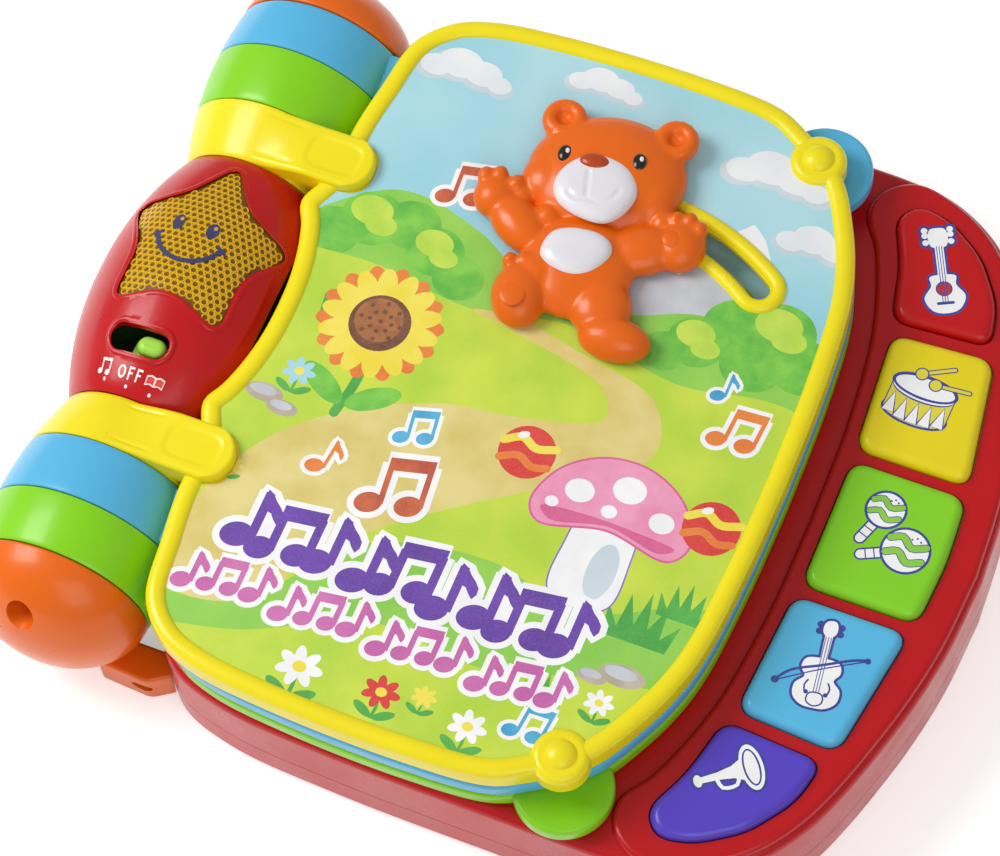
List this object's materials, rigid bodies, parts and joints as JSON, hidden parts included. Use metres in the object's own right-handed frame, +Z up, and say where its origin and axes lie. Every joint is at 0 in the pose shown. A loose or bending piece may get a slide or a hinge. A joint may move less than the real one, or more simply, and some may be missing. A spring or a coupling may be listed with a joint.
{
  "type": "musical toy book",
  "caption": "Closed musical toy book with a hinged slotted cover and sliding bear, two thick turning pages, a row of play keys and a round lit spine.",
  "frame": {"origin": "middle of the underside, where it lies on a table", "axes": "+X from the spine to the keys, +Y along the spine towards its upper end, +Z up out of the cover"},
  "size_m": [0.2838, 0.2406, 0.0677],
  "materials": {
    "red_shell": "glossy moulded plastic",
    "yellow_frame": "glossy moulded plastic",
    "blue_frame": "glossy moulded plastic",
    "green_frame": "glossy moulded plastic",
    "orange_plastic": "glossy moulded plastic",
    "cover_print": "glossy printed label, scene of meadow and sky",
    "page_print": "glossy printed label",
    "amber_lens": "clear amber plastic with small cells",
    "lamp_white": "lamp body",
    "switch_lime": "glossy moulded plastic",
    "white_plastic": "glossy moulded plastic",
    "nose_brown": "glossy moulded plastic",
    "key_red": "glossy moulded plastic",
    "key_yellow": "glossy moulded plastic",
    "key_green": "glossy moulded plastic",
    "key_blue": "glossy moulded plastic",
    "key_purple": "glossy moulded plastic",
    "key_rubber": "soft rubber",
    "board_green": "lacquered circuit board",
    "black_plastic": "dark plastic and steel",
    "screw_steel": "plated steel"
  },
  "bodies": {
    "base": {"spine_housing_upper": "red_shell", "spine_housing_lower": "red_shell", "spine_journal_upper": "red_shell", "spine_journal_lower": "red_shell", "base_upper_shell": "red_shell", "base_lower_shell": "red_shell", "battery_door": "red_shell", "blue_page_frame": "blue_frame", "green_page_frame": "green_frame", "end_cap_upper": "orange_plastic", "end_cap_lower": "orange_plastic", "bed_print_sheet": "page_print", "blue_page_board": "page_print", "green_page_board": "page_print", "star_lens": "amber_lens", "star_led": "lamp_white", "key_contact_mat": "key_rubber", "light_board": "board_green", "key_board": "board_green", "circuit_board": "board_green", "mode_switch_body": "black_plastic", "speaker": "black_plastic", "battery_1": "black_plastic", "battery_2": "black_plastic", "battery_3": "black_plastic", "cap_screw_upper": "screw_steel", "cap_screw_lower": "screw_steel", "battery_door_screw": "screw_steel", "base_screw_1": "screw_steel", "base_screw_2": "screw_steel", "base_screw_3": "screw_steel", "base_screw_4": "screw_steel"},
    "cover": {"cover_frame": "yellow_frame", "cover_print_sheet": "cover_print", "cover_back_sheet": "page_print"},
    "bear": {"bear_body": "orange_plastic", "bear_muzzle": "white_plastic", "bear_nose": "nose_brown", "bear_belly": "white_plastic"},
    "mode_switch": {"mode_switch_knob": "switch_lime"},
    "button_1_guitar": {"key_1_guitar": "key_red"},
    "button_2_drum": {"key_2_drum": "key_yellow"},
    "button_3_maracas": {"key_3_maracas": "key_green"},
    "button_4_violin": {"key_4_violin": "key_blue"},
    "button_5_trumpet": {"key_5_trumpet": "key_purple"}
  },
  "joints": [
    {"name": "cover_hinge", "type": "hinge", "parent": "base", "child": "cover", "pos_m": [-0.10955, 0, 0.0315], "axis": [0, -1, 0], "range_deg": [0, 170]},
    {"name": "bear_swing", "type": "hinge", "parent": "cover", "child": "bear", "pos_m": [0.01145, -0.0015, 0.056], "axis": [0, 0, -1], "range_deg": [0, 44]},
    {"name": "mode_switch_slide", "type": "slide", "parent": "base", "child": "mode_switch", "axis": [-1, 0, 0], "range_m": [0, 0.009]},
    {"name": "key_1_guitar_press", "type": "slide", "parent": "base", "child": "button_1_guitar", "axis": [0, 0, -1], "range_m": [0, 0.0025], "stiffness_N_per_m": 300, "springref_m": -0.002},
    {"name": "key_2_drum_press", "type": "slide", "parent": "base", "child": "button_2_drum", "axis": [0, 0, -1], "range_m": [0, 0.0025], "stiffness_N_per_m": 300, "springref_m": -0.002},
    {"name": "key_3_maracas_press", "type": "slide", "parent": "base", "child": "button_3_maracas", "axis": [0, 0, -1], "range_m": [0, 0.0025], "stiffness_N_per_m": 300, "springref_m": -0.002},
    {"name": "key_4_violin_press", "type": "slide", "parent": "base", "child": "button_4_violin", "axis": [0, 0, -1], "range_m": [0, 0.0025], "stiffness_N_per_m": 300, "springref_m": -0.002},
    {"name": "key_5_trumpet_press", "type": "slide", "parent": "base", "child": "button_5_trumpet", "axis": [0, 0, -1], "range_m": [0, 0.0025], "stiffness_N_per_m": 300, "springref_m": -0.002}
  ]
}
